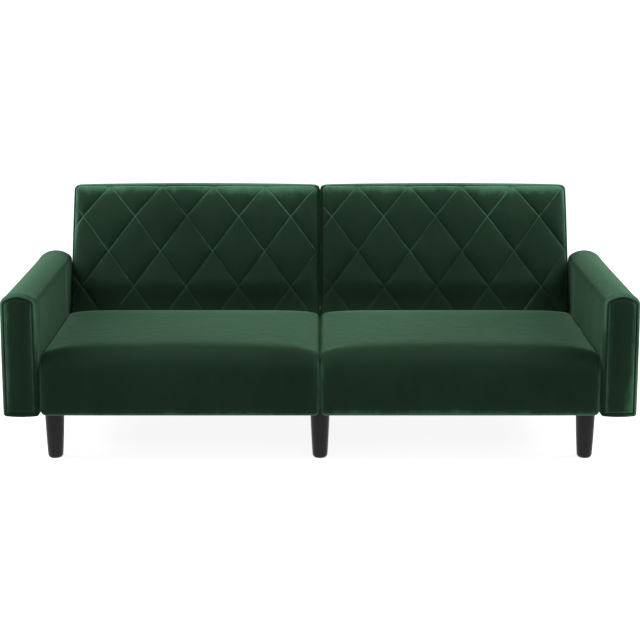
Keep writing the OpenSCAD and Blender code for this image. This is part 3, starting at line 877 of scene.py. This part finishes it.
def boxing_path():
    """(inset, depth, lip) of each ring. The inset is in shares of the front and the rear edges' radii, the depth in
    shares of the front edge's radius, the thickness and the rear edge's radius, and the lip runs from 0 to 1."""
    path = []
    for turn, lip in ((43, 0.5), (50, 0.9), (60, 1), (70, 1), (80, 1), (90, 0.45)):
        turn = math.radians(turn)
        path.append(((1 - math.sin(turn), 0), (1 - math.cos(turn), 0, 0), lip))
    for share in (0.25, 0.5, 0.75):
        path.append(((0, 0), (1 - share, share, -share), 0))
    for turn in np.radians([0, 18, 36, 54, 72, 90]):
        path.append(((0, 1 - math.cos(turn)), (0, 1, math.sin(turn) - 1), 0))
    return path


# ---- Armrests ----

def arm_middle(low, high):
    """The middle and half the width of an armrest's box, along X."""
    return (low.x + high.x) / 2, (high.x - low.x) / 2


def arm_outline(low, high, inset):
    """(x, z) points of an armrest's front outline, clockwise from the middle of its top, all at one inset."""
    centre, half = arm_middle(low, high)
    low_z, top_z = low.z, high.z
    spring = top_z - ARCH_R + math.sqrt((ARCH_R - SHOULDER_R) ** 2 - (half - SHOULDER_R) ** 2)
    arch_turn = math.asin((half - SHOULDER_R) / (ARCH_R - SHOULDER_R))
    foot_r = max(ARM_FOOT_R - inset, 0.0015)
    foot = inset + foot_r
    right = []

    def arc(cx, cz, radius, start, end, steps):
        for k in range(steps):
            turn = start + (end - start) * k / steps
            right.append((cx + radius * math.sin(turn), cz + radius * math.cos(turn)))

    def line(start, end, steps):
        for k in range(steps):
            right.append(tuple(np.array(start) + (np.array(end) - np.array(start)) * k / steps))

    arc(0, top_z - ARCH_R, ARCH_R - inset, 0, arch_turn, ARCH_STEPS)
    arc(half - SHOULDER_R, spring, SHOULDER_R - inset, arch_turn, math.pi / 2, SHOULDER_STEPS)
    line((half - inset, spring), (half - inset, low_z + foot), SIDE_STEPS)
    arc(half - foot, low_z + foot, foot_r, math.pi / 2, math.pi, FOOT_STEPS)
    line((half - foot, low_z + inset), (0, low_z + inset), ARCH_STEPS - FOOT_STEPS // 2)
    right.append((0, low_z + inset))
    left = [(-x, z) for x, z in reversed(right[1:-1])]
    return np.array([(centre + x, z) for x, z in right + left])


def arm_loft(low, high, rows):
    """Points and rings of an armrest's outline, one ring for each (y, inset)."""
    points, rings = [], []
    for y, inset in rows:
        add_ring(points, rings, [(x, y, z) for x, z in arm_outline(low, high, inset)])
    return points, rings


def arch_cap(points, ring, low, high, crown=0.0):
    """Closes an armrest outline with a grid, swelling along Y away from the rim."""
    wide, foot = 2 * ARCH_STEPS, ARCH_STEPS + SHOULDER_STEPS + SIDE_STEPS + FOOT_STEPS // 2
    turned = [ring[(len(ring) - foot - k) % len(ring)] for k in range(len(ring))]
    fresh, rows = cap_grid(points, turned, wide, foot - ARCH_STEPS)
    centre, half = arm_middle(low, high)
    for p in fresh:
        edges = (half - abs(p[0] - centre), p[2] - low.z,
                 ARCH_R - math.hypot(p[0] - centre, max(0, p[2] - high.z + ARCH_R)))
        runs = (CAP_RUN, CAP_END_RUN, CAP_END_RUN)
        p[1] += crown * np.prod([1 - math.exp(-max(edge - CAP_RIM, 0) / run) for edge, run in zip(edges, runs)])
    points += [tuple(p) for p in fresh]
    return grid_faces(rows)


def arm_shape(points, low, high, strength=1.0):
    """Fills an armrest's sides out a little between its edges, and rounds its underside down."""
    centre, half = arm_middle(low, high)
    shaped = points.copy()
    x, y, z = points.T
    tall = np.clip((z - low.z) / (high.z - low.z), 0, 1)
    deep = np.clip((y - low.y) / (high.y - low.y), 0, 1)
    swell = np.clip(np.sin(math.pi * tall), 0, 1) ** 0.5 * (0.35 + 0.65 * np.sin(math.pi * deep) ** 0.5)
    side = np.clip((x - centre) / half, -1, 1)
    shaped[:, 0] += ARM_SWELL * strength * swell * side
    shaped[:, 2] += ARM_RISE * ramp_between(z, high.z - 0.05, high.z)
    shaped[:, 2] -= ARM_BELLY * (1 - ramp_between(z, low.z, low.z + 0.02)) * (1 - side ** 2)
    return shaped


def arm_sleeve(side):
    """Velvet sleeve round an armrest, rolled in at the front and the rear where the end panels are sewn in."""
    low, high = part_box("arm_cover_" + side)
    centre, half = arm_middle(low, high)
    rows = [(low.y + 0.012, 0.0125), (low.y + 0.004, 0.0118)]
    roll_r, rear_r = SLEEVE_ROLL_R, SLEEVE_REAR_R
    rows += [(low.y - 0.002 + roll_r * (1 - math.sin(t)), roll_r * (1 - math.cos(t)))
             for t in np.radians([90, 72, 54, 36, 18])]
    rows += [(low.y - 0.002 + roll_r, 0), (low.y + 0.0105, 0)]
    start, end = low.y + 0.013, high.y - 0.012
    rows += [(start + (end - start) * k / SLEEVE_STEPS, 0) for k in range(SLEEVE_STEPS + 1)]
    rows += [(high.y - rear_r * (1 - math.sin(t)), rear_r * (1 - math.cos(t))) for t in np.radians([0, 30, 60, 90])]
    rows += [(high.y - 0.004, 0.0085)]
    points, rings = arm_loft(low, high, rows)
    faces = loft_faces(rings) + arch_cap(points, rings[0], low, high) + arch_cap(points, rings[-1], low, high)
    points = np.array(points)
    x, y, z = points.T
    # Painted highlight: the front roll paler higher up and on the outer side, and a faint pale band along the top,
    # standing in for sheen
    over_roll = 1 - ramp_between(y, low.y + 0.003, low.y + 0.012)
    outer = np.clip((x - centre) / half * SIDES[side], -1, 1)
    painted_sheen = 0.75 * over_roll * np.maximum(ramp_between(z, low.z, high.z - 0.03), outer)
    painted_sheen = np.maximum(painted_sheen, 0.12 * ramp_between(z, high.z - 0.03, high.z - 0.01))
    points = arm_shape(points, low, high)
    x, y, z = points.T
    from_end = np.minimum(y - low.y, high.y - y)
    held = np.maximum(1 - ramp_between(from_end, 0.012, 0.05), 1 - ramp_between(z, low.z, low.z + 0.03))
    points = points + capped(inflate(points, faces, held, pressure=3.0), SLEEVE_MOST_MOVE)
    inner, pin_y = min(abs(low.x), abs(high.x)), frame["joints"][0]["pos_m"][1]
    room = ARM_ROOM - (ARM_ROOM - HINGE_ROOM) * ramp_between(points[:, 1], pin_y - 0.13, pin_y - 0.06)
    points[:, 0] = SIDES[side] * np.maximum(np.abs(points[:, 0]), inner - room)
    piece("arm_sleeve_" + side, points, faces, "base", "velvet", 1,
          ("arm_cover_" + side, "arm_padding_" + side), painted_sheen=painted_sheen)


def arm_end_panel(side, name, node, face_y, inward, inset, crown):
    """Padded panel in the end of an armrest: a convex face with its edge rolled in."""
    low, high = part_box("arm_cover_" + side)
    centre, half = arm_middle(low, high)
    rows = [(face_y + inward * back, inset + extra) for back, extra in PANEL_EDGE]
    points, rings = arm_loft(low, high, rows)
    faces = arch_cap(points, rings[0], low, high) + loft_faces(rings)
    faces += arch_cap(points, rings[-1], low, high, -inward * crown)
    points = arm_shape(np.array(points), low, high, 0.4)
    outer = half + (points[:, 0] - centre) * (-SIDES[side])
    # Painted highlight along the panel's outer, inner and lower edges, standing in for sheen on the rolled edge and
    # bounce light from the floor along the foot
    painted_sheen = np.maximum.reduce([0.80 * np.exp(-(outer - inset).clip(0) / 0.022),
                                0.70 * np.exp(-(2 * half - outer - inset).clip(0) / 0.010),
                                0.50 * np.exp(-(points[:, 2] - low.z - inset).clip(0) / 0.008)])
    made = piece(name + "_" + side, points, faces, "base", "velvet", 1, (node + "_" + side,), painted_sheen=painted_sheen)


def arm_piping(side):
    """Covered cord sewn between an armrest's sleeve and its front panel."""
    low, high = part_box("arm_cover_" + side)
    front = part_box("arm_piping_" + side)[0].y
    outline = arm_outline(low, high, PIPING_INSET)
    depth = np.full(len(outline), front + PIPING_BACK + PIPING_R)
    route = arm_shape(np.stack([outline[:, 0], depth, outline[:, 1]], axis=1), low, high, 0.4)
    ahead = np.roll(route, -1, axis=0) - np.roll(route, 1, axis=0)
    ahead /= np.linalg.norm(ahead, axis=1, keepdims=True)
    forward = np.array([0.0, -1.0, 0.0])
    across = np.cross(ahead, forward)
    turns = [2 * math.pi * i / PIPING_SIDES for i in range(PIPING_SIDES)]
    points, rings = [], []
    for place, sideways in zip(route, across):
        add_ring(points, rings, [place + PIPING_R * (math.cos(t) * forward + math.sin(t) * sideways) for t in turns])
    faces = loft_faces(rings + rings[:1])
    piece("arm_piping_cord_" + side, points, faces, "base", "velvet", 1, ("arm_piping_" + side,))


# ---- Legs ----

def turned_leg(node):
    """A tapered leg with a small shoulder at the top and a rounded foot rim."""
    low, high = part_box(node)
    co = np.array([v.co for v in frame["nodes"][node].data.vertices], float)
    centre = np.array([(low.x + high.x) / 2, (low.y + high.y) / 2])
    radius = np.linalg.norm(co[:, :2] - centre, axis=1)
    top_r = radius.max() + LEG_FULLNESS
    foot_r = radius[co[:, 2] < low.z + 0.001].max() + LEG_FULLNESS
    outline = [(0.0, low.z), (foot_r * 0.5, low.z), (foot_r - LEG_RIM_R, low.z)]
    outline += [(foot_r - LEG_RIM_R * (1 - math.sin(t)), low.z + LEG_RIM_R * (1 - math.cos(t)))
                for t in np.radians([30, 60, 90])]
    tall = high.z - low.z
    for share in (0.12, 0.25, 0.4, 0.55, 0.7, 0.85, 0.97):
        bow = LEG_BOW * math.sin(math.pi * share)
        outline.append((foot_r + (top_r - foot_r) * share + bow, low.z + tall * share))
    outline += [(top_r - 0.0004, high.z - 0.0012), (top_r - 0.0016, high.z), (top_r * 0.5, high.z), (0.0, high.z)]
    turns = [2 * math.pi * i / LEG_SIDES for i in range(LEG_SIDES)]
    points, rings = [], []
    for r, z in outline:
        around = turns if r else [0]
        add_ring(points, rings, [(centre[0] + r * math.cos(t), centre[1] + r * math.sin(t), z) for t in around])

    def fan(hub, ring):
        return [(hub, ring[i], ring[(i + 1) % LEG_SIDES]) for i in range(LEG_SIDES)]

    faces = fan(rings[0][0], rings[1]) + loft_faces(rings[1:-1]) + fan(rings[-1][0], rings[-2])
    piece("turned_" + node, points, faces, "base", "leg_black", 1, (node,))


# ---- Underside and rear ----

def thin_sheet(name, table, slot, thickness, offset, replaced=()):
    """A table of points as an open sheet of cloth. The offset says on which side of it the thickness lies."""
    numbers = np.arange(table.shape[0] * table.shape[1]).reshape(table.shape[:2])
    made = piece(name, table.reshape(-1, 3), grid_faces(numbers), "base", slot, 0, replaced, close=False)
    thick = made.modifiers.new("Thickness", "SOLIDIFY")
    thick.thickness, thick.offset = thickness, offset
    return made


def dust_sheet():
    """Black sheet stapled under the seat frames, sagging a little between the rails."""
    low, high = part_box("dust_cover")
    across, deep = 96, 38
    x, y = np.meshgrid(np.linspace(low.x, high.x, across + 1), np.linspace(low.y, high.y, deep + 1), indexing="ij")
    u = np.abs(x) / high.x
    v = (y - low.y) / (high.y - low.y)
    belly = np.sin(math.pi * u) ** 2 * np.sin(math.pi * v) ** 2
    ripple = np.sin(x * 95 + 2 * np.sin(y * 11)) * np.exp(-np.minimum(y - low.y, high.y - y) / 0.05)
    z = high.z - 0.0006 - 0.003 * belly - 0.0004 * ripple * np.sin(math.pi * v)
    made = thin_sheet("dust_sheet", np.stack([x, y, z], axis=-1), "dust_cloth", 0.0004, -1, ("dust_cover",))


def rear_rail_cover():
    """Velvet drawn over the rear rail, from its front edge over the top and down its rear face."""
    rails = ["rear_stretcher_left", "rear_stretcher_right"]
    lows, highs = zip(*(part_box(rail) for rail in rails))
    low, high = Vector(map(min, *lows)), Vector(map(max, *highs))
    gap, bend = 0.0012, 0.004
    profile = [(low.y + 0.002 + k * (high.y - low.y - bend - 0.002) / 5, high.z + gap) for k in range(6)]
    profile += [(high.y - bend + (bend + gap) * math.sin(turn), high.z - bend + (bend + gap) * math.cos(turn))
                for turn in np.radians([22.5, 45, 67.5, 90])]
    foot = low.z + 0.0006
    profile += [(high.y + gap, high.z - bend + k * (foot - high.z + bend) / 9) for k in range(1, 10)]
    profile = np.array(profile)
    xs = np.linspace(low.x, high.x, 171)
    x, k = np.meshgrid(xs, np.arange(len(profile)), indexing="ij")
    y, z = profile[k, 0], profile[k, 1]
    slack = 0.0003 * np.sin(x * 43 + z * 60) * np.sin(x * 17) * ramp_between(high.z - z, 0.006, 0.02)
    made = thin_sheet("rear_rail_cover", np.stack([x, y + slack, z], axis=-1), "velvet", 0.0010, 0)


# ---- Stage ----

def area_light(name, place, target, size, power):
    data = bpy.data.lights.new(name, "AREA")
    data.shape = "RECTANGLE"
    data.size, data.size_y = size
    data.energy = power
    made = new_object(name, data)
    made.location = place
    made.rotation_euler = (Vector(target) - Vector(place)).to_track_quat("-Z", "Y").to_euler()


def make_stage():
    """A wide white floor that bounces no light, and a studio whose light comes mostly from overhead."""
    size = 400.0
    mesh = bpy.data.meshes.new("floor")
    mesh.from_pydata([(-size, -size, 0), (size, -size, 0), (size, size, 0), (-size, size, 0)], [], [(0, 1, 2, 3)])
    mesh.materials.append(floor_material())
    floor = new_object("floor", mesh)
    floor.location.z = -0.0002
    floor.visible_diffuse = floor.visible_glossy = floor.visible_shadow = False

    world = bpy.data.worlds.new("studio")
    world.use_nodes = True
    bpy.context.scene.world = world
    tree = world.node_tree
    up = add(tree, "SeparateXYZ", Vector=add(tree, "TexCoord").outputs["Generated"]).outputs["Z"]
    sky = ramp(tree, up, *((height, (level,) * 3) for height, level in SKY))
    room = tree.nodes["Background"]
    tree.links.new(sky, room.inputs["Color"])
    room.inputs["Strength"].default_value = SKY_STRENGTH
    white = add(tree, "Background", Color=(1, 1, 1, 1), Strength=1.0)
    mix = add(tree, "MixShader", Fac=add(tree, "LightPath").outputs["Is Camera Ray"])
    tree.links.new(room.outputs[0], mix.inputs[1])
    tree.links.new(white.outputs[0], mix.inputs[2])
    tree.links.new(mix.outputs[0], tree.nodes["World Output"].inputs["Surface"])
    area_light("top", (0, -0.6, 3.6), (0, 0, 0.4), (3.0, 2.4), TOP_POWER)
    for sign in (-1, 1):
        area_light("side", (3.0 * sign, 0, 2.2), (0, 0, 0.4), (2.0, 2.4), SIDE_POWER)
    bpy.context.scene.view_settings.view_transform = "Standard"


def make_camera():
    """A long lens in front of the middle of the sofa, at standing height, tilted down with a little downward shift."""
    data = bpy.data.cameras.new("camera")
    data.sensor_width = SENSOR_W
    data.lens = LENS
    data.shift_y = SHIFT_Y
    camera = new_object("camera", data)
    camera.location = CAMERA_PLACE
    camera.rotation_euler = (math.pi / 2 - CAMERA_TILT, 0, 0)
    bpy.context.scene.camera = camera


# ---- The sofa ----

make_camera()
make_stage()
finish_cad_nodes()
for side in SIDES:
    seat_cushion(side)
    back_cushion(side)
    arm_sleeve(side)
    arm_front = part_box("arm_front_panel_" + side)[0].y
    arm_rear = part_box("arm_rear_panel_" + side)[1].y
    arm_end_panel(side, "arm_front_pad", "arm_front_panel", arm_front, 1, *FRONT_PANEL)
    arm_end_panel(side, "arm_rear_pad", "arm_rear_panel", arm_rear, -1, *REAR_PANEL)
    arm_piping(side)
for node in sorted(frame["nodes"]):
    if node.startswith(("leg_front", "leg_rear")):
        turned_leg(node)
dust_sheet()
rear_rail_cover()
